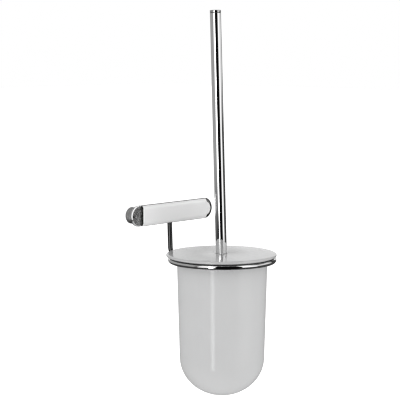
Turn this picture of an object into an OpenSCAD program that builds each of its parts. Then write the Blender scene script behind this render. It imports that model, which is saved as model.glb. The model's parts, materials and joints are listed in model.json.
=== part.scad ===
// Wall-mounted toilet brush holder: chrome arm and ring, frosted glass cup, flat lid and leaning brush.
// Millimetres. +Z is up, the wall is the plane Y = 0 and the object stands out towards -Y.
// The origin is the centre of the wall boss's back face.

/* [Wall boss] */
// Diameter of the knurled boss
boss_d = 18.2; // [16:0.1:19]
// Visible length of the boss, from the wall to the back bar
boss_len = 9.5; // [8:0.1:14]
// Diameter of the spigot that enters the back bar
spigot_d = 12; // [10:0.5:13]
// Length of the spigot
spigot_len = 2.3; // [1.5:0.1:2.4]
// Core diameter of the threaded hole for the wall stud
stud_hole_d = 5; // [4:0.1:6]
// Depth of the threaded hole
stud_hole_len = 9; // [7:0.5:10]

/* [Arm] */
// Height of the arm, and diameter of its round ends
arm_h = 22.6; // [21:0.1:24]
// Distance from the boss axis to the arm's right end
arm_reach = 113; // [100:0.1:115]
// Thickness of the back bar
bar_t = 3.4; // [3.2:0.1:5]
// Thickness of the front plate
plate_t = 2.6; // [2.5:0.1:4]
// Distance from the boss axis to the straight left edge of the front plate
plate_start = 3.6; // [0:0.1:6]
// Radius of the crowned edge of the front plate
plate_crown_r = 6; // [3:0.5:8]

/* [Support rod] */
// Diameter of the rod, always less than the ring's wire
rod_d = 5.2; // [4:0.1:5.2]
// Lean of the rod from vertical, in degrees
rod_lean = 2.3; // [0:0.1:3]
// Radius of the bend at the rod's lower end, to the middle of the rod
rod_bend_r = 8; // [6:0.5:9]
// Distance from the ring's wire to the upright part of the rod
rod_offset = 10.5; // [9.5:0.1:10.6]
// Compass direction from the ring axis to the rod, in degrees from +X
rod_azimuth = 101.7; // [101:0.1:102.2]

/* [Ring] */
// Diameter of the ring's wire
wire_d = 5.6; // [5.4:0.1:6]
// Radius of the ring, to the middle of its wire
ring_r = 55.2; // [54:0.1:57]
// Sideways distance from the boss axis to the ring axis
ring_x = 62.1; // [60:0.1:64]
// Distance from the wall to the ring axis
ring_out = 75.7; // [75.5:0.1:80]
// Drop from the boss axis to the middle of the ring's wire
ring_drop = 47; // [46:0.1:52]

/* [Cup] */
// Radius of the cup just under the ring
cup_top_r = 48.4; // [46:0.1:48.5]
// Radius of the cup where its side meets the round bottom
cup_bottom_r = 45.5; // [42:0.1:46]
// Height of the round bottom
cup_round_h = 41; // [38:0.5:46]
// Drop from the boss axis to the lowest point of the cup
cup_bottom_drop = 194.2; // [180:0.1:210]
// Wall thickness of the glass
glass_t = 3; // [2.5:0.1:4]

/* [Lid] */
// Radius of the lid
lid_r = 59; // [57:0.1:59.2]
// Thickness of the lid
lid_t = 3.1; // [3:0.1:4]
// Sideways slip of the resting lid on the cup
lid_slip = 0.8; // [0:0.1:0.9]

/* [Handle] */
// Diameter of the handle tube
handle_d = 11.8; // [10:0.1:13]
// Height of the handle above the middle of the lid
handle_h = 260.1; // [200:0.1:280]
// Wall of the handle tube
handle_wall = 0.8; // [0.6:0.1:1.2]
// Height of the handle's end cap
cap_h = 2.9; // [2:0.1:5]
// Height of the groove under the end cap
groove_h = 0.5; // [0.3:0.1:1]
// Lean of the handle from vertical, in degrees
lean = 1.5; // [0:0.1:1.6]
// Compass direction of the lean, in degrees from +X
lean_dir = 133.3; // [0:0.1:360]

/* [Brush] */
// Radius over the side bristles
brush_r = 35; // [28:0.5:36]
// Drop from the middle of the lid to the top of the side bristles
brush_top = 62; // [58:1:70]
// Drop from the middle of the lid to the lowest bristle tip
brush_tip = 141; // [120:1:143]
// Radius of the plastic core that carries the bristles
core_r = 9; // [7:0.5:11]

/* [Hidden] */
$fn = 96;
cut = 1;
fit = 0.05;

arm_r = arm_h / 2;
bar_back = -boss_len;
bar_front = bar_back - bar_t;
plate_front = bar_front - plate_t;
arm_end_x = arm_reach - arm_r;
head_chamfer = 0.8;
back_chamfer = 1.3;
plate_edge_r = 1;
plate_land = 0.2;
crown_rise = plate_t - plate_land;
crown_w = sqrt(plate_crown_r * plate_crown_r - pow(plate_crown_r - crown_rise, 2));

grub_x = -8.3;
grub_r = 1.3;
grub_sink = 0.5;
grub_bite = 1;
hex_d = 1.6;
hex_depth = 1.2;

screw_xs = [27, 87];
screw_r = 1.5;
screw_head_r = 2.8;
screw_head_h = 1.5;
screw_len = 5;
driver_d = 2;
driver_depth = 1;

wire_r = wire_d / 2;
rod_r = rod_d / 2;
ring_z = -ring_drop;
ring_y = -ring_out;
tenon_r = 1.1;
tenon_len = 6;
rod_stub = rod_offset - rod_bend_r;
rod_up = (ring_drop - arm_r - rod_bend_r) / cos(rod_lean);

lid_gap = 0.1;
ring_to_lid = 0.85;
lid_bottom = ring_z + wire_r + ring_to_lid;
lid_mid = lid_bottom + lid_t / 2;
lid_x = ring_x + lid_slip * cos(lean_dir);
lid_y = ring_y + lid_slip * sin(lean_dir);

rim_z = lid_bottom - lid_gap;
seat_gap = 0.3;
rim_r = ring_r - (wire_r + seat_gap) * sqrt(2) + rim_z - ring_z;
rim_in_r = rim_r - glass_t * sqrt(2);
cup_centre_z = cup_round_h - cup_bottom_drop;
flare_z = rim_z - (rim_r - cup_top_r);
cup_taper = atan((cup_top_r - cup_bottom_r) / (flare_z - cup_centre_z));

seal_r = 45.2;
seal_w = 2;
seal_h = 3.4;
seal_groove = 1.2;
bush_r = 9;
bush_flange_r = 11;
bush_recess = 2;
bush_drop = 1.6;
bush_clear = 0.1;
bush_mid = -lid_t / 2 + (bush_recess - bush_drop) / 2;
lid_hole_clear = 0.5;

handle_r = handle_d / 2;
tube_in_r = handle_r - handle_wall;
tube_top = handle_h - cap_h - groove_h;
tube_bottom = -9;
plug_len = 14;
cap_edge = 0.6;
groove_depth = 0.4;
insert_len = 16;
stud_r = 3;
stud_bite = 12;
stud_stick = 14;
washer_top = -lid_t / 2 - bush_drop - 0.5;
washer_h = 0.8;
collar_top = washer_top - washer_h;
collar_h = 3;
collar_r = 9.5;

shank_r = 5;
core_top = 4 - brush_top;
dome_z = brush_r - brush_tip;
side_bottom = dome_z - 4;
core_bottom = side_bottom - 9;
button_r = 7;
button_h = 3;
brush_shoulder = 4;

chrome = "silver";
frosted = "gainsboro";

// A round bar along Y at sideways distance x, from the plane y0 out to the plane y1
module along_y(x, r, y0, y1)
    translate([x, y0, 0])
        rotate([90, 0, 0])
            cylinder(r = r, h = y0 - y1);

// A bar with round ends: a half profile (radius, distance from the wall) turned at both ends
// and drawn straight between them
module stadium(x0, x1) {
    for (x = [x0, x1])
        translate([x, 0, 0])
            rotate([90, 0, 0])
                rotate_extrude()
                    children();
    translate([x0, 0, 0])
        rotate([180, -90, 0])
            linear_extrude(x1 - x0)
                for (side = [0, 1])
                    mirror([side, 0])
                        children();
}

// A ring turned about Z, from radius r0 to r1 and from height z0 to z1
module collar(r0, r1, z0, z1)
    rotate_extrude()
        translate([r0, z0])
            square([r1 - r0, z1 - z0]);

// The support rod's own frame: the joint with the ring's wire, +X away from the ring axis
module at_rod_joint()
    translate([ring_x + ring_r * cos(rod_azimuth), ring_y + ring_r * sin(rod_azimuth), ring_z])
        rotate([0, -rod_lean, 0])
            rotate([0, 0, rod_azimuth])
                children();

// Heights inside are measured from the middle of the lid
module at_lid()
    translate([lid_x, lid_y, lid_mid])
        children();

// The same heights along the brush's own axis, which leans about the middle of the bush
module leaning()
    at_lid()
        translate([0, 0, bush_mid])
            rotate([0, 0, lean_dir])
                rotate([0, lean, 0])
                    rotate([0, 0, -lean_dir])
                        translate([0, 0, -bush_mid])
                            children();

// ---- Arm ----

// The grub screw's hole, which also bites a notch into the edge of the boss
module grub_hole(grow)
    along_y(grub_x, grub_r + grow, bar_back + grub_bite, bar_front + grub_sink);

// A countersunk screw that goes in from the back bar's rear face
module plate_screw_body(x, grow) {
    along_y(x, screw_r + grow, bar_back, bar_back - screw_len - grow);
    translate([x, bar_back, 0])
        rotate([90, 0, 0])
            cylinder(r1 = screw_head_r + grow, r2 = screw_r + grow, h = screw_head_h);
}

// The threaded tenon at the rod's upper end, as a round bar
module tenon(grow)
    at_rod_joint()
        translate([rod_offset, 0, rod_bend_r + rod_up - cut])
            cylinder(r = tenon_r + grow, h = tenon_len + cut + grow);

module bar_profile()
    polygon([[0, -bar_back],
             [arm_r - back_chamfer, -bar_back],
             [arm_r, back_chamfer - bar_back],
             [arm_r, -bar_front - head_chamfer],
             [arm_r - head_chamfer, -bar_front],
             [0, -bar_front]]);

module plate_profile() {
    translate([0, -bar_front])
        square([arm_r - crown_w, plate_t]);
    intersection() {
        translate([arm_r - crown_w, -plate_front - plate_crown_r])
            circle(plate_crown_r);
        translate([arm_r - crown_w, -bar_front])
            square([crown_w, plate_t]);
    }
}

module wall_boss()
    color("darkgray")
        difference() {
            union() {
                along_y(0, boss_d / 2, 0, bar_back);
                along_y(0, spigot_d / 2, 0, bar_back - spigot_len);
            }
            along_y(0, stud_hole_d / 2, cut, -stud_hole_len);
            grub_hole(fit);
        }

module back_bar()
    color(chrome)
        difference() {
            stadium(0, arm_end_x)
                bar_profile();
            along_y(0, spigot_d / 2 + fit, bar_back + cut, bar_back - spigot_len - fit);
            along_y(grub_x, grub_r + fit, bar_back + cut, bar_front - cut);
            for (x = screw_xs)
                plate_screw_body(x, fit);
            tenon(fit);
        }

module grub_screw()
    color("dimgray")
        difference() {
            grub_hole(0);
            along_y(grub_x, hex_d / 2, bar_front + grub_sink + hex_depth, bar_front - cut, $fn = 6);
        }

module arm_plate()
    color(chrome)
        difference() {
            stadium(0, arm_end_x)
                plate_profile();
            translate([-arm_h, plate_front - cut, -arm_h])
                cube([arm_h + plate_start, plate_t + 2 * cut, 2 * arm_h]);
            translate([plate_start, plate_front, -arm_h])
                difference() {
                    translate([-cut, -cut, 0])
                        cube([cut + plate_edge_r, cut + plate_edge_r, 2 * arm_h]);
                    translate([plate_edge_r, plate_edge_r, -cut])
                        cylinder(r = plate_edge_r, h = 2 * (arm_h + cut));
                }
            for (x = screw_xs)
                plate_screw_body(x, fit);
        }

module plate_screws()
    color("gray")
        for (x = screw_xs)
            difference() {
                plate_screw_body(x, 0);
                along_y(x, driver_d / 2, bar_back + cut, bar_back - driver_depth, $fn = 6);
            }

module support_rod()
    color(chrome) {
        difference() {
            at_rod_joint() {
                rotate([0, 90, 0])
                    cylinder(r = rod_r, h = rod_stub);
                translate([rod_stub, 0, rod_bend_r])
                    rotate([90, 0, 0])
                        rotate([0, 0, -90])
                            rotate_extrude(angle = 90)
                                translate([rod_bend_r, 0])
                                    circle(rod_r);
                translate([rod_offset, 0, rod_bend_r])
                    cylinder(r = rod_r, h = rod_up + cut);
            }
            translate([0, -arm_h - boss_len, -arm_r])
                cube([arm_reach, arm_h + boss_len, arm_h]);
            ring();
        }
        tenon(0);
    }

// ---- Ring and cup ----

module ring()
    color(chrome)
        translate([ring_x, ring_y, ring_z])
            rotate_extrude()
                translate([ring_r, 0])
                    circle(wire_r);

// Half outline of the cup, or of its hollow when the wall thickness t is taken off. The side starts
// inside the round bottom, so that the two join with no film between them.
module cup_profile(t, top_r) {
    bottom_r = cup_bottom_r - t;
    round_h = cup_round_h - t;
    side_r = cup_top_r - t;
    turn = atan(round_h / bottom_r * tan(cup_taper));
    polygon([[0, cup_centre_z - round_h / 2],
             [bottom_r * cos(turn), cup_centre_z - round_h * sin(turn)],
             [side_r, rim_z - (top_r - side_r)],
             [top_r, rim_z],
             [top_r, rim_z + (t > 0 ? cut : 0)],
             [0, rim_z + (t > 0 ? cut : 0)]]);
    intersection() {
        translate([0, cup_centre_z])
            scale([1, round_h / bottom_r])
                circle(bottom_r);
        translate([0, cup_centre_z - round_h])
            square([bottom_r, round_h * (1 - sin(turn))]);
    }
}

module cup()
    color(frosted, 0.8)
        translate([ring_x, ring_y, 0])
            rotate_extrude()
                difference() {
                    cup_profile(0, rim_r);
                    cup_profile(glass_t, rim_in_r);
                }

// ---- Lid ----

module lid()
    color(frosted)
        at_lid()
            rotate_extrude()
                difference() {
                    union() {
                        translate([0, -lid_t / 2])
                            square([lid_r - lid_t / 2, lid_t]);
                        translate([lid_r - lid_t / 2, 0])
                            circle(lid_t / 2);
                    }
                    translate([0, -lid_t])
                        square([handle_r + lid_hole_clear, 2 * lid_t]);
                    translate([0, -lid_t])
                        square([bush_r, lid_t / 2 + bush_recess]);
                    translate([seal_r - seal_w, -lid_t])
                        square([seal_w, lid_t / 2 + seal_groove]);
                }

module lid_seal()
    color("white")
        at_lid()
            collar(seal_r - seal_w, seal_r, -lid_t / 2 + seal_groove - seal_h, -lid_t / 2 + seal_groove);

module lid_bush()
    color("white")
        at_lid() {
            collar(handle_r + bush_clear, bush_r, -lid_t / 2, -lid_t / 2 + bush_recess);
            collar(handle_r + bush_clear, bush_flange_r, -lid_t / 2 - bush_drop, -lid_t / 2);
        }

// ---- Handle ----

module handle_tube()
    color(chrome)
        leaning()
            collar(tube_in_r, handle_r, tube_bottom, tube_top);

module handle_cap()
    color(chrome)
        leaning() {
            rotate_extrude()
                polygon([[0, handle_h - cap_h],
                         [handle_r, handle_h - cap_h],
                         [handle_r, handle_h - cap_edge],
                         [handle_r - cap_edge, handle_h],
                         [0, handle_h]]);
            translate([0, 0, handle_h - cap_h - plug_len])
                cylinder(r = tube_in_r, h = plug_len);
        }

module cap_ring()
    color("dimgray")
        leaning()
            collar(tube_in_r, handle_r - groove_depth, tube_top, tube_top + groove_h);

module handle_insert()
    color("goldenrod")
        leaning()
            difference() {
                translate([0, 0, tube_bottom])
                    cylinder(r = tube_in_r, h = insert_len);
                translate([0, 0, tube_bottom - cut])
                    cylinder(r = stud_r, h = stud_bite + cut);
            }

module lid_washer()
    color("white")
        leaning()
            collar(handle_r, collar_r, washer_top - washer_h, washer_top);

module lid_collar()
    color(chrome)
        leaning()
            collar(handle_r, collar_r, collar_top - collar_h, collar_top);

// ---- Brush head ----

module brush_stud()
    color("gray")
        leaning()
            translate([0, 0, tube_bottom - stud_stick])
                cylinder(r = stud_r, h = stud_stick + stud_bite);

module brush_core()
    color("white")
        leaning()
            difference() {
                union() {
                    translate([0, 0, core_top])
                        cylinder(r = shank_r, h = tube_bottom - core_top);
                    translate([0, 0, core_bottom])
                        cylinder(r = core_r, h = core_top - core_bottom);
                }
                translate([0, 0, tube_bottom - stud_stick])
                    cylinder(r = stud_r, h = stud_stick + cut);
            }

module core_button()
    color("whitesmoke")
        leaning()
            translate([0, 0, core_bottom - button_h])
                cylinder(r = button_r, h = button_h);

module side_bristles()
    color("white")
        leaning()
            rotate_extrude()
                polygon([[core_r, -brush_top],
                         [brush_r - brush_shoulder, -brush_top],
                         [brush_r, -brush_top - brush_shoulder],
                         [brush_r, side_bottom],
                         [core_r, side_bottom]]);

module tip_bristles()
    color("white")
        leaning()
            rotate_extrude()
                difference() {
                    intersection() {
                        translate([0, dome_z])
                            circle(brush_r);
                        translate([0, -brush_tip])
                            square([brush_r, side_bottom + brush_tip]);
                    }
                    translate([0, core_bottom])
                        square([core_r, core_top - core_bottom]);
                    translate([0, core_bottom - button_h])
                        square([button_r, button_h]);
                }

wall_boss();
back_bar();
grub_screw();
arm_plate();
plate_screws();
support_rod();
ring();
cup();
lid();
lid_seal();
lid_bush();
handle_tube();
handle_cap();
cap_ring();
handle_insert();
lid_washer();
lid_collar();
brush_stud();
brush_core();
core_button();
side_bristles();
tip_bristles();
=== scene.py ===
"""Looks of the wall-mounted toilet brush holder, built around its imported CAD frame.

Metres, +Z up. The wall is the plane Y = 0 and the object stands out towards -Y.
"""
import json
import math
import random

import bmesh
import bpy
from mathutils import Matrix, Vector


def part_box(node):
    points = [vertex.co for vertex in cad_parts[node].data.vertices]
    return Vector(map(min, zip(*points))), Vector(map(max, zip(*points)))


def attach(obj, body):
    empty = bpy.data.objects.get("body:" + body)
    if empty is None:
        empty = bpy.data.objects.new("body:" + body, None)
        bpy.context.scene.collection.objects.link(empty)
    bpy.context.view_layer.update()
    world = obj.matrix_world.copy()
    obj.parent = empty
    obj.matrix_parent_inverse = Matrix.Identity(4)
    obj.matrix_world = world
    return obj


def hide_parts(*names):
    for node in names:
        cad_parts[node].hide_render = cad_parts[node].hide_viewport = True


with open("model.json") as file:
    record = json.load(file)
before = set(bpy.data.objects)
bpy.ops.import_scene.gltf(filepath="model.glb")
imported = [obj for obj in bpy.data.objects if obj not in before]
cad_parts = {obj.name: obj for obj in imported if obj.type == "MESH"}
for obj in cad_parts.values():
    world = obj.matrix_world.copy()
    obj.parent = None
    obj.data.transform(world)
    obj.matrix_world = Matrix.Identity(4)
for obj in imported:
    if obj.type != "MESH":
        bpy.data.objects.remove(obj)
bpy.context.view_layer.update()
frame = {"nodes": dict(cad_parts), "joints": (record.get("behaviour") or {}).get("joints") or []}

MM = 0.001
TAU = 2 * math.pi
TINY = 1e-7               # a smaller radius counts as on the axis
SIDES = 144               # facets round a turned piece
SCREW_SIDES = 72
CUTTER_SIDES = 64
SHARP = math.radians(32)  # edges turned by more than this stay sharp

# The camera's view. Its azimuth is 0 straight in front of the wall and grows towards +X.
VIEW_AZIMUTH = math.radians(-46.68)
VIEW_ELEVATION = math.radians(6.48)
VIEW_DISTANCE = 1.4957
VIEW_TARGET = Vector((0.0646, -0.0407, 0.0142))
LENS = 124.04
SENSOR = 36
PIXEL_FILTER = 1.25       # width, in pixels, of the picture's smoothing
SEED = 7                  # of the bristles' random draws

scene = bpy.context.scene


# ---- Places read from the frame ----

def middle(node):
    low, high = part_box(node)
    return (low + high) / 2


def half_size(node):
    low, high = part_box(node)
    return (high - low) / 2


def axis_of(node):
    """An upright frame on the node's middle line, with heights as they are in the CAD."""
    return Matrix.Translation((middle(node).x, middle(node).y, 0))


def direction(azimuth, elevation):
    """The way out from the object at that azimuth and elevation, in radians."""
    flat = math.cos(elevation)
    return Vector((math.sin(azimuth) * flat, -math.cos(azimuth) * flat, math.sin(elevation)))


def joint(name):
    return next(j for j in frame["joints"] if j["name"] == name)


def brush_place():
    """The brush's own frame: Z along its leaning axis, heights measured from the middle of the lid."""
    spin = joint("brush_spin")
    pivot = Vector(spin["pos_m"])
    lean = Vector((0, 0, 1)).rotation_difference(Vector(spin["axis"])).to_matrix().to_4x4()
    return Matrix.Translation(pivot) @ lean @ Matrix.Translation((0, 0, middle("lid").z - pivot.z))


BRUSH = brush_place()


def reach(node):
    """(lowest height, highest height, largest radius) of a brush node in the brush's own frame."""
    to_brush = BRUSH.inverted()
    points = [to_brush @ v.co for v in frame["nodes"][node].data.vertices]
    heights = [p.z for p in points]
    return min(heights), max(heights), max(p.to_2d().length for p in points)


# ---- Mesh building ----

def filleted(corners, closed=False, steps=6):
    """An outline through (radius, height, fillet radius) corners, each rounded by an arc."""
    count = len(corners)
    points = []
    for i, (x, z, fillet) in enumerate(corners):
        here = Vector((x, z))
        if fillet <= 0 or (not closed and i in (0, count - 1)):
            points.append((x, z))
            continue
        before = Vector(corners[i - 1][:2]) - here
        after = Vector(corners[(i + 1) % count][:2]) - here
        half = before.angle(after) / 2
        centre = here + (before.normalized() + after.normalized()).normalized() * fillet / math.sin(half)
        start = here + before.normalized() * fillet / math.tan(half) - centre
        end = here + after.normalized() * fillet / math.tan(half) - centre
        turn = start.angle_signed(end)
        for k in range(steps + 1):
            spoke = start.copy()
            spoke.rotate(Matrix.Rotation(-turn * k / steps, 2))
            points.append(tuple(centre + spoke))
    return points


def arc(centre, radius, start, end, steps):
    """Points (x, z) on an arc, its angles in degrees from the x direction."""
    angles = [math.radians(start + (end - start) * k / steps) for k in range(steps + 1)]
    return [(centre[0] + radius * math.cos(a), centre[1] + radius * math.sin(a)) for a in angles]


def bridge(bm, one, other):
    """Faces between two rings of vertices, either of which may be a single point."""
    count = max(len(one), len(other))
    for i in range(count):
        corners = [one[i % len(one)], one[(i + 1) % len(one)]]
        corners += [other[(i + 1) % len(other)], other[i % len(other)]]
        corners = list(dict.fromkeys(corners))
        if len(corners) > 2:
            bm.faces.new(corners)


def turned(outline, place=Matrix(), sides=SIDES, bm=None):
    """A solid turned about the Z axis of place. A radius in the outline may be a function of the angle
    and the height. An outline that starts on the axis closes there, and any other closes on itself."""
    bm = bm or bmesh.new()
    rings = []
    for radius, height in outline:
        if not callable(radius) and abs(radius) < TINY:
            rings.append([bm.verts.new(place @ Vector((0, 0, height)))])
            continue
        ring = []
        for k in range(sides):
            angle = TAU * k / sides
            r = radius(angle, height) if callable(radius) else radius
            ring.append(bm.verts.new(place @ Vector((r * math.cos(angle), r * math.sin(angle), height))))
        rings.append(ring)
    if len(rings[0]) > 1:
        rings.append(rings[0])
    for one, other in zip(rings, rings[1:]):
        bridge(bm, one, other)
    return bm


def lofted(loops):
    """A solid through closed loops of points, with a flat cap at each end."""
    bm = bmesh.new()
    rings = [[bm.verts.new(p) for p in loop] for loop in loops]
    for one, other in zip(rings, rings[1:]):
        bridge(bm, one, other)
    bm.faces.new(rings[0])
    bm.faces.new(rings[-1])
    return bm


def mesh_object(name, bm):
    """An object of that name with the built mesh, its faces turned outwards."""
    bmesh.ops.recalc_face_normals(bm, faces=bm.faces)
    mesh = bpy.data.meshes.new(name)
    bm.to_mesh(mesh)
    bm.free()
    obj = bpy.data.objects.new(name, mesh)
    scene.collection.objects.link(obj)
    return obj


def carved(obj, cutters):
    """Takes each cutter's shape out of the object."""
    for cutter in cutters:
        modifier = obj.modifiers.new("carve", "BOOLEAN")
        modifier.operation = "DIFFERENCE"
        modifier.solver = "EXACT"
        modifier.object = cutter
    result = bpy.data.meshes.new_from_object(obj.evaluated_get(bpy.context.evaluated_depsgraph_get()))
    result.name = obj.name
    obj.modifiers.clear()
    obj.data = result
    for cutter in cutters:
        bpy.data.objects.remove(cutter)


def finished(obj, body, materials, replaces=(), sharp=SHARP):
    """Shades a piece, gives it its finish and lets it ride on its body."""
    obj.data.shade_smooth()
    obj.data.set_sharp_from_angle(angle=sharp)
    obj.data.materials.clear()
    for material in materials:
        obj.data.materials.append(material)
    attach(obj, body)
    if replaces:
        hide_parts(*replaces)


def recolour(obj, material, facing):
    """Gives the material, one of the object's own, to every face whose normal passes the test."""
    index = obj.data.materials.find(material.name)
    for polygon in obj.data.polygons:
        if facing(polygon.normal):
            polygon.material_index = index


# ---- Node helpers ----

class Shader:
    """A material's node tree, with short calls for the few nodes used here."""

    def __init__(self, name):
        self.material = bpy.data.materials.new(name)
        self.material.use_nodes = True
        self.tree = self.material.node_tree
        self.surface = self.tree.nodes["Principled BSDF"]
        self.place = self.tree.nodes.new("ShaderNodeTexCoord").outputs["Object"]

    def node(self, kind, **inputs):
        made = self.tree.nodes.new(kind)
        for name, value in inputs.items():
            self.wire(value, made.inputs[name.replace("_", " ")])
        return made

    def wire(self, value, socket):
        if isinstance(value, bpy.types.NodeSocket):
            self.tree.links.new(value, socket)
        else:
            socket.default_value = value

    def stretched(self, x, y, z):
        return self.node("ShaderNodeMapping", Vector=self.place, Scale=(x, y, z)).outputs["Vector"]

    def noise(self, scale, detail=3.0, place=None):
        made = self.node("ShaderNodeTexNoise", Vector=place or self.place, Scale=scale, Detail=detail)
        return made.outputs["Fac"]

    def spread(self, source, low, high, start=0.3, end=0.7):
        """source, from start to end, spread over low to high."""
        made = self.node("ShaderNodeMapRange", Value=source)
        made.inputs["From Min"].default_value = start
        made.inputs["From Max"].default_value = end
        made.inputs["To Min"].default_value = low
        made.inputs["To Max"].default_value = high
        return made.outputs["Result"]

    def blend(self, factor, one, other):
        made = self.tree.nodes.new("ShaderNodeMix")
        made.data_type = "RGBA"
        self.wire(factor, made.inputs[0])
        self.wire(one, made.inputs[6])
        self.wire(other, made.inputs[7])
        return made.outputs[2]

    def clouded(self, source, dark, light):
        """A colour that drifts from dark to light with the source."""
        return self.blend(self.spread(source, 0, 1), dark, light)

    def scatter(self, weight, depth):
        """Lets that share of the light in, to come out again within that depth, without a tint."""
        self.set(Subsurface_Weight=weight, Subsurface_Scale=depth, Subsurface_Radius=(1, 1, 1))

    def bump(self, height, strength, distance):
        made = self.node("ShaderNodeBump", Height=height, Strength=strength, Distance=distance)
        self.wire(made.outputs["Normal"], self.surface.inputs["Normal"])

    def set(self, **values):
        for name, value in values.items():
            self.wire(value, self.surface.inputs[name.replace("_", " ")])


def grey(level, warmth=0.0):
    """A colour of that lightness, slightly warm or slightly cool."""
    return (level * (1 + warmth), level, level * (1 - warmth), 1.0)


# ---- Materials ----

def polished(name, level=0.9, rough=(0.015, 0.035)):
    """Polished plating: faint wipe marks in the gloss and a barely uneven colour."""
    s = Shader(name)
    clouds = s.noise(scale=35, detail=4)
    wipes = s.noise(scale=60, detail=6, place=s.stretched(1, 1, 0.15))
    s.set(Metallic=1.0, Roughness=s.spread(wipes, *rough))
    s.set(Base_Color=s.clouded(clouds, grey(level * 0.96), grey(level)))
    return s.material


def pearl(name, level, rough):
    """Pearl-finished chrome: so finely blasted that it scatters light almost like paint."""
    s = Shader(name)
    clouds = s.noise(scale=25, detail=3)
    s.set(Metallic=0.25, Roughness=s.spread(s.noise(scale=500, detail=4), *rough))
    s.set(Base_Color=s.clouded(clouds, grey(level * 0.99), grey(level)))
    s.bump(s.noise(scale=3000, detail=2), strength=0.1, distance=0.004 * MM)
    return s.material


def satin(name, level, rough, tint=0.0):
    """Bead-blasted or machined metal: a fine grain and an uneven, soft gloss."""
    s = Shader(name)
    clouds = s.noise(scale=120, detail=4)
    s.set(Metallic=1.0, Roughness=s.spread(s.noise(scale=300, detail=5), *rough))
    s.set(Base_Color=s.clouded(clouds, grey(level * 0.85, tint), grey(level, tint)))
    s.bump(s.noise(scale=1800, detail=3), strength=0.25, distance=0.01 * MM)
    return s.material


def frosted(name, level, rough, polish, polish_rough, grain=0.18):
    """Acid-frosted glass: a fine grain, a faint unevenness inside and a smoother skin over it."""
    cool = -0.004
    s = Shader(name)
    clouds = s.noise(scale=28, detail=3)
    specks = s.noise(scale=1500, detail=2)
    shade = s.clouded(clouds, grey(level * 0.975, cool), grey(level, cool))
    speckled = s.spread(specks, 0, 0.35, start=0.45, end=0.7)
    s.set(Base_Color=s.blend(speckled, shade, grey(level * 1.06)))
    s.set(Roughness=s.spread(s.noise(scale=220, detail=4), *rough), Specular_IOR_Level=0.15, IOR=1.5)
    s.set(Coat_Weight=polish, Coat_Roughness=polish_rough)
    s.scatter(0.12, depth=10 * MM)
    s.bump(specks, strength=grain, distance=0.02 * MM)
    return s.material


def moulded(name, level, rough, warmth=0.0, soft=0.1):
    """Moulded plastic or rubber: a fine skin texture and slightly uneven gloss."""
    s = Shader(name)
    clouds = s.noise(scale=70, detail=3)
    s.set(Base_Color=s.clouded(clouds, grey(level * 0.93, warmth), grey(level, warmth)))
    s.set(Roughness=s.spread(s.noise(scale=400, detail=4), *rough))
    s.scatter(soft, depth=4 * MM)
    s.bump(s.noise(scale=1100, detail=3), strength=0.15, distance=0.02 * MM)
    return s.material


def nylon(name):
    """Extruded nylon filament: milky, slightly see-through at the edges and a little uneven."""
    s = Shader(name)
    clouds = s.noise(scale=260, detail=3)
    s.set(Base_Color=s.clouded(clouds, grey(0.72, 0.01), grey(0.86, 0.005)))
    s.set(Roughness=s.spread(s.noise(scale=500, detail=2), 0.28, 0.45))
    s.scatter(0.2, depth=1 * MM)
    s.bump(s.noise(scale=2600, detail=2), strength=0.1, distance=0.01 * MM)
    return s.material


CHROME = polished("chrome_plating")
CAP_CHROME = polished("chrome_end_cap", level=0.55, rough=(0.06, 0.12))
# Chrome darkened almost to black for the support rod: painted shade, standing in for the shade the rod sits
# in.
ROD_PAINTED_SHADE_CHROME = polished("chrome_support_rod_painted_shade", level=0.08, rough=(0.05, 0.1))
SOFT_CHROME = polished("chrome_head_face", level=0.48, rough=(0.23, 0.27))
# Chrome darkened to near black for the plate's round right end: painted shade, standing in for the dark
# reflection there.
PLATE_END_PAINTED_SHADE_CHROME = polished("chrome_plate_end_painted_shade", level=0.18)
PEARL = pearl("pearl_chrome_face", 0.88, (0.4, 0.5))
BOSS_METAL = satin("boss_zinc", 0.62, (0.3, 0.42))
STEEL = satin("screw_steel", 0.5, (0.22, 0.34))
DARK_STEEL = satin("grub_steel", 0.12, (0.3, 0.42))
BRASS = satin("brass", 0.6, (0.2, 0.32), tint=0.35)
GLASS = frosted("frosted_glass", 0.515, (0.48, 0.56), polish=0.45, polish_rough=0.09)
LID_GLASS = frosted("frosted_lid", 0.44, (0.34, 0.42), polish=1.0, polish_rough=0.05, grain=0.03)
# Near-black material for the lid's downward faces: painted shade, standing in for the shade under the lid.
LID_PAINTED_SHADE = moulded("lid_underside_painted_shade", 0.1, (0.2, 0.3), soft=0.0)
SILICONE = moulded("silicone_rubber", 0.78, (0.42, 0.55))
WHITE_PLASTIC = moulded("white_plastic", 0.8, (0.3, 0.42))
CORE_PLASTIC = moulded("core_plastic", 0.78, (0.28, 0.4), warmth=0.006)
DARK_RUBBER = moulded("dark_ring_rubber", 0.035, (0.4, 0.55), soft=0.0)
NYLON = nylon("bristle_nylon")


# ---- Arm ----

EDGE_TILT = 47  # degrees of tilt past which the plate's crown is polished bright
# Faces past this sideways part, turned towards +X, get the darkened chrome, which is painted shade.
FACING_SIDEWAYS = 0.02  # sideways part of a face's normal past which the crown counts as the plate's end
HEAD_TILT = 0.8  # degrees by which the head's face has turned away from the plate at its round end
HEAD_EDGE = 3  # degrees of tilt beyond HEAD_TILT past which the head is bright


def along_y(x, y, z=0.0):
    """A frame whose Z axis runs out from the wall, from the point (x, y, z)."""
    return Matrix.Translation((x, y, z)) @ Matrix.Rotation(math.radians(90), 4, "X")


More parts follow.
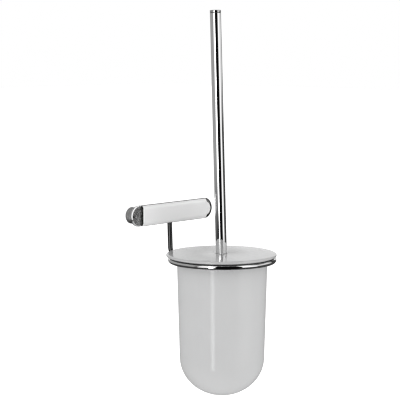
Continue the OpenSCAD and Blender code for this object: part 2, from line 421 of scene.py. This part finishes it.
def knurl(radius, depth, teeth, pitch):
    """A radius function for a diamond knurl: two sets of V grooves that cross."""
    fullness = 0.8  # below 1, the diamonds' sides are slightly full

    def cut(phase):
        return 1 - abs(2 * (phase % 1) - 1)

    def at(angle, height):
        turns = teeth * angle / TAU
        rise = height / pitch
        return radius - depth * (1 - min(cut(turns + rise), cut(turns - rise)) ** fullness)
    return at


def threaded(core, depth, pitch):
    """A radius function for an internal thread cut outwards from its core radius."""
    def at(angle, height):
        phase = (angle / TAU + height / pitch) % 1
        return core + depth * (1 - abs(2 * phase - 1))
    return at


def hexagon(across):
    """A radius function for a hexagon of that width across its flats."""
    def at(angle, height):
        return across / 2 / math.cos(angle % (TAU / 6) - TAU / 12)
    return at


def wall_boss():
    """The knurled boss, its smooth bands, the threaded hole and the spigot."""
    radius = half_size("wall_boss").x
    length = -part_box("back_bar")[1].y
    spigot_end = -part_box("wall_boss")[0].y
    spigot_r, hole_r, hole_end, mouth, tip = 6 * MM, 2.5 * MM, 9 * MM, 0.5 * MM, 0.3 * MM
    band, bevel, depth = 0.5 * MM, 0.35 * MM, 0.42 * MM
    teeth, steepness, rows = 36, 1.15, 52
    rough = knurl(radius, depth, teeth, pitch=TAU * radius / teeth * steepness)
    knurled = length - 2 * (band + bevel)
    skin = [(rough, band + bevel + knurled * k / rows) for k in range(rows + 1)]
    thread = threaded(hole_r, depth=0.35 * MM, pitch=1 * MM)
    plain, steps = 0.6 * MM, 80
    turns = [(thread, hole_end - plain - (hole_end - 2 * plain) * k / steps) for k in range(steps + 1)]
    root = radius - depth
    outline = [(0, hole_end), (hole_r, hole_end - tip)] + turns + [(hole_r + mouth, 0)]
    outline += [(root - bevel, 0), (root, bevel), (root, bevel + band / 2)] + skin
    outline += [(root, length - bevel - band / 2), (root, length - bevel / 2), (root - bevel, length)]
    outline += [(spigot_r, length), (spigot_r, spigot_end), (0, spigot_end)]
    boss = mesh_object("wall_boss_knurled", turned(outline, along_y(0, 0), sides=432))
    finished(boss, "holder", [BOSS_METAL], ["wall_boss"], sharp=math.radians(50))


def round_ended(left, right, half, depth, steps=48):
    """A loop round a bar with two round ends. Its depth Y may be a function of the sideways place."""
    loop = []
    for x, start in ((right, -90), (left, 90)):
        loop += arc((x, 0), half, start, start + 180, steps)
    return [(x, depth(x) if callable(depth) else depth, z) for x, z in loop]


def countersink(x, y, head, shank, cone, slack):
    """A cutter for one countersunk hole in a rear face, with that slack round the screw."""
    mouth, end = 0.2 * MM, 3 * cone
    outline = [(0, -MM), (head + slack, -MM), (head + slack, mouth)]
    outline += [(shank + slack, cone + slack), (shank + slack, end), (0, end)]
    return mesh_object("cutter", turned(outline, along_y(x, y), sides=CUTTER_SIDES))


def round_cutter(x, y, radius, depth):
    """A cutter for a plain hole from a rear face."""
    outline = [(0, -MM), (radius, -MM), (radius, depth), (0, depth)]
    return mesh_object("cutter", turned(outline, along_y(x, y), sides=CUTTER_SIDES))


def screw_places():
    """Sideways places of the two plate screws, and the radius of their heads."""
    low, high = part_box("plate_screws")
    head = half_size("plate_screws").z
    return (low.x + head, high.x - head), head


def back_bar():
    """The thick bar behind the plate: a satin face inside a bright bevel, and countersinks behind."""
    low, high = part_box("back_bar")
    half = half_size("back_bar").z
    left, right = low.x + half, high.x - half
    rim_w, rim_t, land = 1.2 * MM, 0.38 * MM, 1.4 * MM
    back_edge, back_fillet = 1.3 * MM, 0.5 * MM
    plate_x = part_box("arm_plate")[0].x
    head_fall = math.tan(math.radians(HEAD_TILT)) / (2 * (plate_x - low.x))

    def face(x):
        return low.y + head_fall * max(0, plate_x - x) ** 2

    corners = [(half - back_edge, high.y, 0), (half, high.y - back_edge, back_fillet)]
    corners += [(half, low.y + rim_t + land, 0)]
    loops = [round_ended(left, right, h, y) for h, y in filleted(corners)]
    loops.append(round_ended(left, right, half, lambda x: face(x) + rim_t))
    rows = 12
    loops += [round_ended(left, right, (half - rim_w) * (1 - k / rows), face) for k in range(rows)]
    bar = mesh_object("back_bar_body", lofted(loops))
    xs, head = screw_places()
    cutters = [countersink(x, high.y, head, shank=1.5 * MM, cone=1.5 * MM, slack=0.05 * MM) for x in xs]
    grub_hole = half_size("grub_screw").x + 0.12 * MM
    cutters.append(round_cutter(middle("grub_screw").x, high.y, grub_hole, high.y - low.y + MM))
    carved(bar, cutters)
    finished(bar, "holder", [CHROME, SOFT_CHROME], ["back_bar"], sharp=math.radians(14))
    steepest = -math.cos(math.radians(HEAD_TILT + HEAD_EDGE))
    recolour(bar, SOFT_CHROME, lambda normal: normal.y < steepest)


def arm_plate():
    """The bright front plate: crowned along its edges, with a straight bevelled left end and a round right
    end darkened with painted shade.
    """
    low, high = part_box("arm_plate")
    half = half_size("arm_plate").z
    right = high.x - half
    crown_r, land = 6 * MM, 0.2 * MM
    bevel_w, bevel_t = 1.1 * MM, 0.3 * MM
    crown_end = math.acos(1 - (high.y - low.y - land) / crown_r)
    flat = half - crown_r * math.sin(crown_end)
    crown_steps, end_steps = 16, 64
    stations = [(half, high.y), (half, high.y - land)]
    for k in range(1, crown_steps + 1):
        tilt = crown_end * (1 - k / crown_steps)
        stations.append((flat + crown_r * math.sin(tilt), low.y + crown_r * (1 - math.cos(tilt))))
    loops = []
    for h, y in stations:
        left = low.x + bevel_w * max(0, 1 - (y - low.y) / bevel_t)
        round_end = [(x, y, z) for x, z in arc((right, 0), h, -90, 90, end_steps)]
        loops.append([(left, y, -h)] + round_end + [(left, y, h)])
    plate = mesh_object("arm_plate_face", lofted(loops))
    finishes = [CHROME, PEARL, PLATE_END_PAINTED_SHADE_CHROME]
    finished(plate, "holder", finishes, ["arm_plate"], sharp=math.radians(12))
    steepest = -math.cos(math.radians(EDGE_TILT))
    recolour(plate, PEARL, lambda normal: normal.y < steepest and normal.x > -FACING_SIDEWAYS)
    # Faces turned towards +X, round the plate's right end, get painted shade: a dark chrome in place of a
    # dark reflection.
    recolour(plate, PLATE_END_PAINTED_SHADE_CHROME, lambda normal: normal.x > FACING_SIDEWAYS)


def socket(across, deep, edge, top):
    """The outline of a hexagon socket, from its bottom up to a mouth bevelled by edge."""
    hexes = hexagon(across)

    def mouth(angle, height):
        return hexes(angle, height) + edge
    return [(0, deep), (hexes, deep), (hexes, edge), (mouth, top)]


def grub_screw():
    """The small socket screw in the head's face."""
    low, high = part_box("grub_screw")
    radius, length, edge = half_size("grub_screw").x, high.y - low.y, 0.1 * MM
    outline = socket(across=1.6 * MM, deep=1.2 * MM, edge=edge / 2, top=0)
    outline += [(radius - edge, 0), (radius, edge), (radius, length), (0, length)]
    place = along_y(middle("grub_screw").x, low.y) @ Matrix.Rotation(math.pi, 4, "X")
    screw = mesh_object("grub_screw_socket", turned(outline, place, sides=SCREW_SIDES))
    finished(screw, "holder", [DARK_STEEL], ["grub_screw"])


def plate_screws():
    """Two countersunk screws that hold the plate from behind."""
    xs, head = screw_places()
    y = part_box("plate_screws")[1].y
    length = 2 * half_size("plate_screws").y
    shank, cone, edge, sunk = 1.5 * MM, 1.5 * MM, 0.12 * MM, 0.02 * MM
    outline = socket(across=2 * MM, deep=1 * MM, edge=edge, top=sunk)
    outline += [(head - 2 * edge, sunk), (head - edge / 2, edge)]
    outline += [(shank, cone), (shank, length), (0, length)]
    bm = bmesh.new()
    for x in xs:
        turned(outline, along_y(x, y), sides=SCREW_SIDES, bm=bm)
    finished(mesh_object("plate_screw_pair", bm), "holder", [STEEL], ["plate_screws"])


def keep_cad_node(node, material):
    """A CAD node whose shape is right stays, with a better finish."""
    obj = frame["nodes"][node]
    for material_slot in obj.material_slots:
        material_slot.material = material


def rod_joint_fillet():
    """The brazed fillet where the support rod meets the ring's wire."""
    ring = middle("ring")
    wire = half_size("ring").z
    ring_r = half_size("ring").x - wire
    rod_r, run, clear, sunk = 2.6 * MM, 1 * MM, 0.02 * MM, 0.3 * MM
    flare = 0.35  # how far the fillet spreads round the rod, as a share of its height
    away = math.radians(101.7)
    lean = Matrix.Rotation(math.radians(-2.3), 4, "Y")
    start = ring + Vector((ring_r * math.cos(away), ring_r * math.sin(away), 0))
    out = Matrix.Rotation(away, 4, "Z") @ Matrix.Rotation(math.radians(90), 4, "Y")
    place = Matrix.Translation(start) @ lean @ out

    sides, steps = 64, 6
    bm = bmesh.new()

    def around(radius, lift):
        """A ring of vertices round the rod that follows the wire's surface, that far above it."""
        ring_points = []
        for i in range(sides):
            angle = TAU * i / sides
            across = rod_r * math.cos(angle)
            height = math.sqrt(max(0, wire * wire - across * across)) + lift
            point = Vector((radius * math.cos(angle), radius * math.sin(angle), height))
            ring_points.append(bm.verts.new(place @ point))
        return ring_points

    bends = [math.radians(90) * k / steps for k in range(steps + 1)]
    rings = [around(rod_r + clear + flare * run * (1 - math.sin(b)), run * (1 - math.cos(b))) for b in bends]
    inner = around(rod_r - sunk, run / 2)
    rings = [inner] + rings + [inner]
    for one, other in zip(rings, rings[1:]):
        bridge(bm, one, other)
    finished(mesh_object("rod_joint_braze", bm), "holder", [CHROME])


# ---- Cup ----

def cup():
    """The frosted cup: round bottom, slight taper, flared seat and a fire-polished rim."""
    low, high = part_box("cup")
    rim_r = half_size("cup").x
    bottom_r, top_r, round_h, wall = 45.5 * MM, 48.4 * MM, 41 * MM, 3 * MM
    lip, throat, inner_throat = 0.9 * MM, 5 * MM, 7 * MM
    inset, inset_run, steps = 0.4 * MM, 12 * MM, 12
    centre_z = low.z + round_h
    flare_z = high.z - (rim_r - top_r)
    taper = math.degrees(math.atan((top_r - bottom_r) / (flare_z - centre_z)))
    rim_in = rim_r - wall * math.sqrt(2)
    inner_flare = high.z - (rim_in - (top_r - wall))

    def round_bottom(radius, height, steps):
        """From the lowest point up to where the side starts, a slightly flattened quarter circle."""
        points = arc((0, 0), 1, -90, -taper, steps)
        return [(0, centre_z - height)] + [(radius * r, centre_z + height * z) for r, z in points[1:]]

    outer = round_bottom(bottom_r, round_h, 48)
    outer += [(bottom_r + (top_r - bottom_r) * k / steps, centre_z + (flare_z - centre_z) * k / steps)
              for k in range(1, steps)]
    seat = filleted([(*outer[-1], 0), (top_r, flare_z, throat), (rim_r, high.z, lip),
                     (rim_in, high.z, lip), (top_r - wall, inner_flare, inner_throat),
                     (top_r - wall - inset, inner_flare - inset_run, 0)], steps=9)
    inner = round_bottom(bottom_r - wall, round_h - wall, 40)
    outline = outer + seat[1:] + inner[::-1]
    obj = mesh_object("cup_glass", turned(outline, axis_of("cup")))
    finished(obj, "cup", [GLASS], ["cup"])


# ---- Lid ----

# Faces below this count as the lid's underside and get painted shade.
FACING_DOWN = -0.9  # upward part of a face's normal below which it counts as the lid's underside


def lid():
    """The frosted disc with a full-round edge, a hole for the bush, a groove for the seal, and painted shade
    on its underside.
    """
    radius, half = half_size("lid").x, half_size("lid").z
    hole, seat, recess = 6.4 * MM, 9 * MM, 2 * MM
    groove_out = half_size("lid_seal").x
    groove_in, groove = groove_out - 2 * MM, 1.2 * MM
    edge = arc((radius - half, 0), half, 90, -90, 16)
    corners = [(hole, recess - half, 0), (hole, half, 0.5 * MM), (radius - half, half, 0)]
    top = filleted(corners, steps=5)[:-1]
    under = [(groove_out, -half), (groove_out, groove - half)]
    under += [(groove_in, groove - half), (groove_in, -half), (seat, -half), (seat, recess - half)]
    obj = mesh_object("lid_disc", turned(top + edge + under, Matrix.Translation(middle("lid")), sides=192))
    finished(obj, "lid", [LID_GLASS, LID_PAINTED_SHADE], ["lid"])
    # The downward faces are painted dark: painted shade under the lid.
    recolour(obj, LID_PAINTED_SHADE, lambda normal: normal.z < FACING_DOWN)


def lid_seal():
    """The soft ring that keeps the lid centred, with two thin lips."""
    outer, half = half_size("lid_seal").x, half_size("lid_seal").z
    place = Matrix.Translation(middle("lid_seal"))
    inner, lip, waist, edge = outer - 2 * MM, 0.35 * MM, 0.3 * MM, 0.1 * MM
    corners = [(inner, half, edge), (outer, half, edge), (outer, 0.2 * MM, edge / 2)]
    corners += [(outer - waist, 0, edge), (outer - waist, -half * 0.35, edge)]
    corners += [(outer, -half * 0.55, edge), (outer - waist, -half * 0.7, edge)]
    corners += [(outer - 2 * waist, -half, lip), (inner + waist, -half, lip), (inner, -half * 0.4, edge)]
    obj = mesh_object("lid_seal_ring", turned(filleted(corners, closed=True, steps=4), place))
    finished(obj, "lid", [SILICONE], ["lid_seal"])


def lid_bush():
    """The flanged plastic bush that the handle turns in."""
    low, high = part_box("lid_bush")
    flange_r, barrel_r, bore = half_size("lid_bush").x, 9 * MM, 6.0 * MM
    step = high.z - 2 * MM
    corners = [(bore, high.z, 0.2 * MM), (barrel_r, high.z, 0.1 * MM), (barrel_r, step, 0.1 * MM)]
    corners += [(flange_r, step, 0.15 * MM), (flange_r, low.z, 0.4 * MM), (bore, low.z, 0.3 * MM)]
    outline = filleted(corners, closed=True, steps=4)
    obj = mesh_object("lid_bush_flanged", turned(outline, axis_of("lid_bush")))
    finished(obj, "lid", [WHITE_PLASTIC], ["lid_bush"])


# ---- Handle ----

def handle_tube():
    """The plain tube, with its bore and slightly rounded ends."""
    low, high, radius = reach("handle_tube")
    wall, edge = 0.8 * MM, 0.15 * MM
    corners = [(radius, low, edge), (radius, high, edge), (radius - wall, high, 0), (radius - wall, low, 0)]
    obj = mesh_object("handle_tube_chromed", turned(filleted(corners, closed=True, steps=4), BRUSH))
    finished(obj, "brush", [CHROME], ["handle_tube"])


def handle_cap():
    """The end cap: a slightly domed top with a rounded rim, and the plug inside the tube."""
    low, high, radius = reach("handle_cap")
    shoulder = reach("cap_ring")[1]
    plug_r, dome, edge = 5.1 * MM, 0.35 * MM, 0.55 * MM
    corners = [(0, low, 0), (plug_r, low, 0.5 * MM), (plug_r, shoulder, 0), (radius, shoulder, 0.12 * MM)]
    corners += [(radius, high - dome, edge), (radius * 0.5, high - dome * 0.25, 2 * MM), (0, high, 0)]
    obj = mesh_object("handle_cap_turned", turned(filleted(corners, steps=6), BRUSH))
    finished(obj, "brush", [CAP_CHROME], ["handle_cap"])


def cap_ring():
    """The dark ring under the cap, with a rounded outer side."""
    low, high, radius = reach("cap_ring")
    inner = 5.1 * MM
    swell = (high - low) / 2
    outline = arc((radius - swell / 2, (low + high) / 2), swell, -90, 90, 8)
    outline = [(inner, low)] + outline + [(inner, high)]
    obj = mesh_object("cap_ring_seal", turned(outline, BRUSH))
    finished(obj, "brush", [DARK_RUBBER], ["cap_ring"])


def under_lid_ring(node, name, material, edge):
    """A ring on the tube under the lid, with rounded rims."""
    low, high, radius = reach(node)
    clear = 0.02 * MM
    inner = reach("handle_tube")[2] + clear
    corners = [(inner, low, edge / 2), (radius, low, edge), (radius, high, edge), (inner, high, edge / 2)]
    obj = mesh_object(name, turned(filleted(corners, closed=True, steps=5), BRUSH))
    finished(obj, "brush", [material], [node])


# ---- Brush head ----

def brush_core():
    """The moulded core: a fluted shank, a cone and the barrel that carries the tufts."""
    low, high, radius = reach("brush_core")
    shoulder = reach("side_bristles")[1] + 4 * MM
    shank, edge, cone_h = 5 * MM, 0.4 * MM, 4 * MM
    ribs, rib_depth, fade_run = 6, 0.45 * MM, 5 * MM
    plain_top, plain_foot = 6 * MM, 9 * MM

    def fluted(angle, height):
        fade = min(1, (high - plain_top - height) / fade_run, (height - shoulder - plain_foot) / fade_run)
        return shank - rib_depth * max(0, fade) * (0.5 - 0.5 * math.cos(ribs * angle)) ** 2

    rows, start, end = 24, high - 2 * MM, shoulder + cone_h + MM
    flutes = [(fluted, start - (start - end) * k / rows) for k in range(rows + 1)]
    cone = filleted([(shank, end + MM, 0), (shank, shoulder + cone_h, 3 * MM),
                     (radius, shoulder, 1.2 * MM), (radius, low, 1 * MM), (0, low, 0)], steps=6)
    outline = [(0, high), (shank - edge, high), (shank, high - edge)] + flutes + cone[1:]
    obj = mesh_object("brush_core_moulded", turned(outline, BRUSH))
    finished(obj, "brush", [CORE_PLASTIC], ["brush_core"])


def core_button():
    """The button that closes the core's lower end."""
    low, high, radius = reach("core_button")
    outline = filleted([(0, low, 0), (radius, low, 1.2 * MM), (radius, high, 0), (0, high, 0)], steps=6)
    obj = mesh_object("core_button_cap", turned(outline, BRUSH))
    finished(obj, "brush", [CORE_PLASTIC], ["core_button"])


def filament(bm, root, tip, bow, radius):
    """One closed, slightly bowed bristle with three sides."""
    along = (tip - root).normalized()
    side = along.orthogonal().normalized()
    other = along.cross(side)
    rings = []
    for share in (0.0, 0.5, 1.0):
        centre = root.lerp(tip, share) + bow * (4 * share * (1 - share))
        ring = []
        for k in range(3):
            angle = TAU * k / 3
            spoke = side * math.cos(angle) + other * math.sin(angle)
            ring.append(bm.verts.new(BRUSH @ (centre + spoke * radius)))
        rings.append(ring)
    for one, another in zip(rings, rings[1:]):
        bridge(bm, one, another)
    bm.faces.new(rings[0])
    bm.faces.new(rings[-1])


def to_envelope(root, way, radius, dome_z, top):
    """How far a bristle runs from root along way before it meets the brush head's outline."""
    halvings = 24
    low, high = 0.0, 2 * radius
    for _ in range(halvings):
        reach_now = (low + high) / 2
        p = root + way * reach_now
        outside = p.to_2d().length > radius if p.z > dome_z else (p - Vector((0, 0, dome_z))).length > radius
        if outside or p.z > top:
            high = reach_now
        else:
            low = reach_now
    return low


def tuft_rows():
    """(height, root radius, tufts in the row, downward slope in degrees) of every row of tufts."""
    core_low, _, core_r = reach("brush_core")
    top = reach("side_bristles")[1]
    button_low, _, button_r = reach("core_button")
    rows, count = 13, 20
    start, end = top - 3 * MM, core_low + 2 * MM
    first_slope, fan, bend, bend_from = -2, 4, 62, 0.6
    made = []
    for k in range(rows):
        share = k / (rows - 1)
        slope = first_slope + fan * share + bend * max(0, share - bend_from) / (1 - bend_from)
        made.append((start + (end - start) * share, core_r, count, slope))
    for share, tufts, slope in ((0.78, 12, 72), (0.4, 7, 82), (0, 1, 90)):
        made.append((button_low, button_r * share, tufts, slope))
    return made


def bristles():
    """Every tuft of the brush head as a fan of single bristles."""
    draw = random.Random(SEED)
    _, high, radius = reach("side_bristles")
    tip_low = reach("tip_bristles")[0]
    dome_z = tip_low + radius
    per_tuft, tuft_r, spread, thick = 22, 1.15 * MM, 0.11, 0.2 * MM
    sunk, trim, stray, bow_size = 0.6 * MM, 1.3 * MM, 0.012, 0.25 * MM
    bm = bmesh.new()
    for row, (height, root_r, count, slope) in enumerate(tuft_rows()):
        for k in range(count):
            turn = TAU * (k + 0.5 * (row % 2)) / count
            out = Vector((math.cos(turn), math.sin(turn), 0))
            aim = out * math.cos(math.radians(slope)) - Vector((0, 0, 1)) * math.sin(math.radians(slope))
            across = aim.orthogonal().normalized()
            up = aim.cross(across)
            middle_root = out * root_r + Vector((0, 0, height)) - aim * sunk
            for _ in range(per_tuft):
                lean, around = draw.random() ** 0.5, draw.uniform(0, TAU)
                offset = (across * math.cos(around) + up * math.sin(around)) * lean
                root = middle_root + offset * tuft_r
                way = (aim + offset * spread * draw.uniform(0.6, 1.4)).normalized()
                way = (way + Vector([draw.gauss(0, stray) for _ in range(3)])).normalized()
                length = to_envelope(root, way, radius - thick, dome_z, high - thick)
                tip = root + way * (length - draw.uniform(0, trim))
                bow = Vector([draw.gauss(0, bow_size) for _ in range(3)])
                filament(bm, root, tip, bow, thick / 2 * draw.uniform(0.85, 1.15))
    obj = mesh_object("bristle_tufts", bm)
    finished(obj, "brush", [NYLON], ["side_bristles", "tip_bristles"])


# ---- Stage, light and camera ----

def floor():
    """A plain pale floor well below the cup."""
    size, drop = 12.0, 0.16
    bm = bmesh.new()
    bmesh.ops.create_grid(bm, x_segments=1, y_segments=1, size=size)
    obj = mesh_object("floor", bm)
    obj.location = (0, 0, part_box("cup")[0].z - drop)
    s = Shader("pale_floor")
    s.set(Base_Color=s.blend(s.spread(s.noise(3.0), 0, 1), grey(0.9), grey(0.92)))
    s.set(Roughness=0.9, Emission_Color=grey(1.0), Emission_Strength=0.4)
    obj.data.materials.append(s.material)
    obj.visible_glossy = False


class Studio:
    """The world: plain white to the camera, soft white for diffuse light, and for reflections a room of
    light and dark panels placed by azimuth from the camera's side and by elevation, in degrees."""

    def __init__(self, light):
        world = bpy.data.worlds.new("studio")
        scene.world = world
        world.use_nodes = True
        self.tree = world.node_tree
        self.tree.nodes.clear()
        way = self.tree.nodes.new("ShaderNodeTexCoord").outputs["Generated"]
        ahead = self.dot(way, direction(VIEW_AZIMUTH, 0))
        aside = self.dot(way, direction(VIEW_AZIMUTH + math.radians(90), 0))
        up = self.dot(way, (0, 0, 1))
        self.azimuth = self.math("MULTIPLY", self.math("ARCTAN2", aside, ahead), math.degrees(1))
        self.elevation = self.math("MULTIPLY", self.math("ARCSINE", up), math.degrees(1))
        self.light = light

    def math(self, operation, one, other=0.0, clamp=False):
        made = self.tree.nodes.new("ShaderNodeMath")
        made.operation = operation
        made.use_clamp = clamp
        for value, socket in ((one, made.inputs[0]), (other, made.inputs[1])):
            if isinstance(value, bpy.types.NodeSocket):
                self.tree.links.new(value, socket)
            else:
                socket.default_value = value
        return made.outputs[0]

    def dot(self, vector, way):
        made = self.tree.nodes.new("ShaderNodeVectorMath")
        made.operation = "DOT_PRODUCT"
        self.tree.links.new(vector, made.inputs[0])
        made.inputs[1].default_value = way
        return made.outputs["Value"]

    def within(self, source, low, high, soft):
        """1 between low and high, falling to 0 over soft degrees outside."""
        rise = self.math("DIVIDE", self.math("SUBTRACT", source, low - soft / 2), soft, clamp=True)
        fall = self.math("DIVIDE", self.math("SUBTRACT", high + soft / 2, source), soft, clamp=True)
        return self.math("MULTIPLY", rise, fall)

    def panel(self, light, azimuth, elevation, soft):
        """Lays a panel of that brightness over what is there."""
        mask = self.math("MULTIPLY", self.within(self.azimuth, *azimuth, soft),
                         self.within(self.elevation, *elevation, soft))
        kept = self.math("MULTIPLY", self.light, self.math("SUBTRACT", 1.0, mask))
        self.light = self.math("ADD", kept, self.math("MULTIPLY", mask, light))

    def finish(self, diffuse):
        """Joins what each kind of ray sees."""
        path = self.tree.nodes.new("ShaderNodeLightPath")
        glossy = path.outputs["Is Glossy Ray"]
        camera = path.outputs["Is Camera Ray"]
        rest = self.math("MULTIPLY", diffuse, self.math("SUBTRACT", 1.0, glossy))
        light = self.math("ADD", rest, self.math("MULTIPLY", self.light, glossy))
        light = self.math("MULTIPLY", light, self.math("SUBTRACT", 1.0, camera))
        light = self.math("ADD", light, camera)
        background = self.tree.nodes.new("ShaderNodeBackground")
        background.inputs["Color"].default_value = (1, 1, 1, 1)
        self.tree.links.new(light, background.inputs["Strength"])
        output = self.tree.nodes.new("ShaderNodeOutputWorld")
        self.tree.links.new(background.outputs[0], output.inputs["Surface"])


def studio():
    """The panels that the chrome and the glass reflect."""
    room = Studio(light=0.05)
    room.panel(0.35, azimuth=(-185, -60), elevation=(-12, 45), soft=8)
    room.panel(0.85, azimuth=(-181, -155), elevation=(0, 30), soft=6)
    room.panel(0.9, azimuth=(155, 181), elevation=(0, 30), soft=6)
    room.panel(0.75, azimuth=(78, 128), elevation=(1.5, 32), soft=6)
    room.panel(0.06, azimuth=(84, 181), elevation=(-91, -2), soft=5)
    room.panel(1.1, azimuth=(35, 79), elevation=(-16, 60), soft=4)
    room.panel(1.1, azimuth=(-54, -12), elevation=(-13, 60), soft=6)
    room.panel(6.0, azimuth=(-30, -21), elevation=(-30, 30), soft=3)
    room.panel(0.004, azimuth=(-15.5, 42.5), elevation=(-91, 80), soft=2.5)
    room.finish(diffuse=0.92)


def soft_box(name, azimuth, elevation, distance, size, power):
    """A large soft lamp, aimed at the middle of the object."""
    light = bpy.data.lights.new(name, "AREA")
    light.shape = "SQUARE"
    light.size = size
    light.energy = power
    lamp = bpy.data.objects.new(name, light)
    scene.collection.objects.link(lamp)
    way = direction(VIEW_AZIMUTH + math.radians(azimuth), math.radians(elevation))
    lamp.location = VIEW_TARGET + way * distance
    lamp.rotation_euler = way.to_track_quat("Z", "Y").to_euler()
    lamp.visible_glossy = False


def camera():
    """The camera at the view given above."""
    data = bpy.data.cameras.new("camera")
    data.lens = LENS
    data.sensor_width = SENSOR
    data.clip_start = 0.01
    obj = bpy.data.objects.new("camera", data)
    scene.collection.objects.link(obj)
    back = direction(VIEW_AZIMUTH, VIEW_ELEVATION)
    obj.location = VIEW_TARGET + back * VIEW_DISTANCE
    obj.rotation_euler = back.to_track_quat("Z", "Y").to_euler()
    scene.camera = obj


camera()
wall_boss()
back_bar()
arm_plate()
grub_screw()
plate_screws()
rod_joint_fillet()
cup()
lid()
lid_seal()
lid_bush()
handle_tube()
handle_cap()
cap_ring()
under_lid_ring("lid_washer", "lid_washer_ring", WHITE_PLASTIC, 0.15 * MM)
under_lid_ring("lid_collar", "lid_collar_ring", CHROME, 0.5 * MM)
brush_core()
core_button()
bristles()
# The support rod gets the near-black chrome, which is painted shade.
keep_cad_node("support_rod", ROD_PAINTED_SHADE_CHROME)
keep_cad_node("ring", CHROME)
keep_cad_node("handle_insert", BRASS)
keep_cad_node("brush_stud", STEEL)
floor()
studio()
soft_box("key_light", azimuth=-50, elevation=45, distance=1.8, size=1.4, power=4)
soft_box("fill_light", azimuth=70, elevation=30, distance=2.0, size=1.6, power=5)
scene.view_settings.view_transform = "Standard"
scene.cycles.filter_width = PIXEL_FILTER
